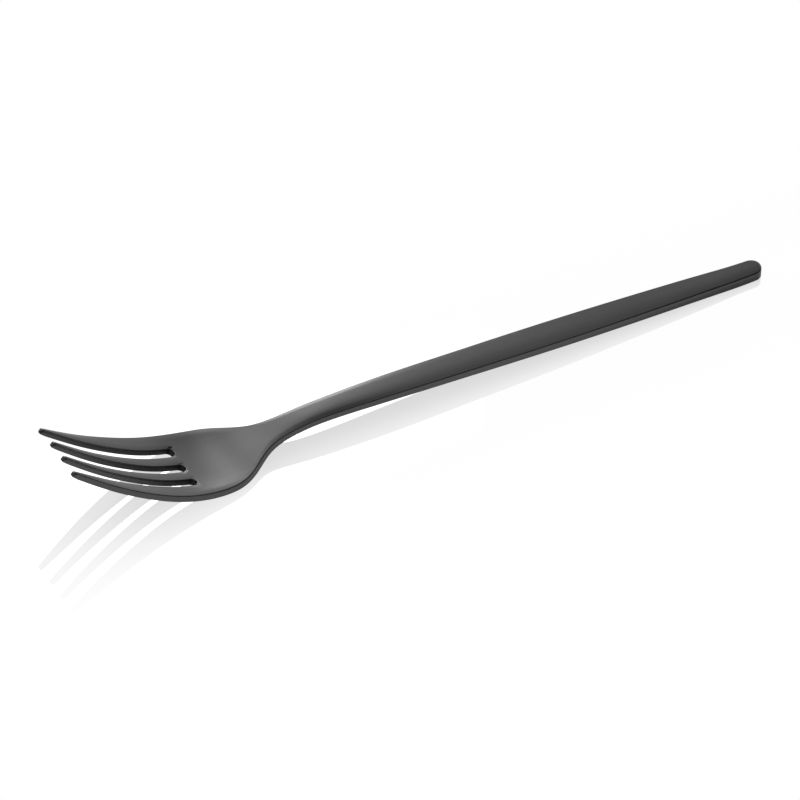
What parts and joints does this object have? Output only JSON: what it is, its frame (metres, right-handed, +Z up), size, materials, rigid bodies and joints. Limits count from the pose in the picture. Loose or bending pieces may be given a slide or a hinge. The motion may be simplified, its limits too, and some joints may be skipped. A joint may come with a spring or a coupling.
{
  "type": "dinner fork",
  "caption": "Slim one-piece dinner fork with tapering curved tines, a shallow hollow head, an arched neck and a long flat handle with a round end, in steel with a dark satin coat.",
  "frame": {"origin": "on the table surface, under the middle of the fork's box", "axes": "+X from the tips of the tines towards the end of the handle, +Y across the fork, +Z up from the table"},
  "size_m": [0.21, 0.0256, 0.0248],
  "materials": {
    "coated_steel": "satin black-grey coat on stainless steel, brushed lengthwise"
  },
  "bodies": {
    "root": {"fork": "coated_steel"}
  },
  "joints": []
}
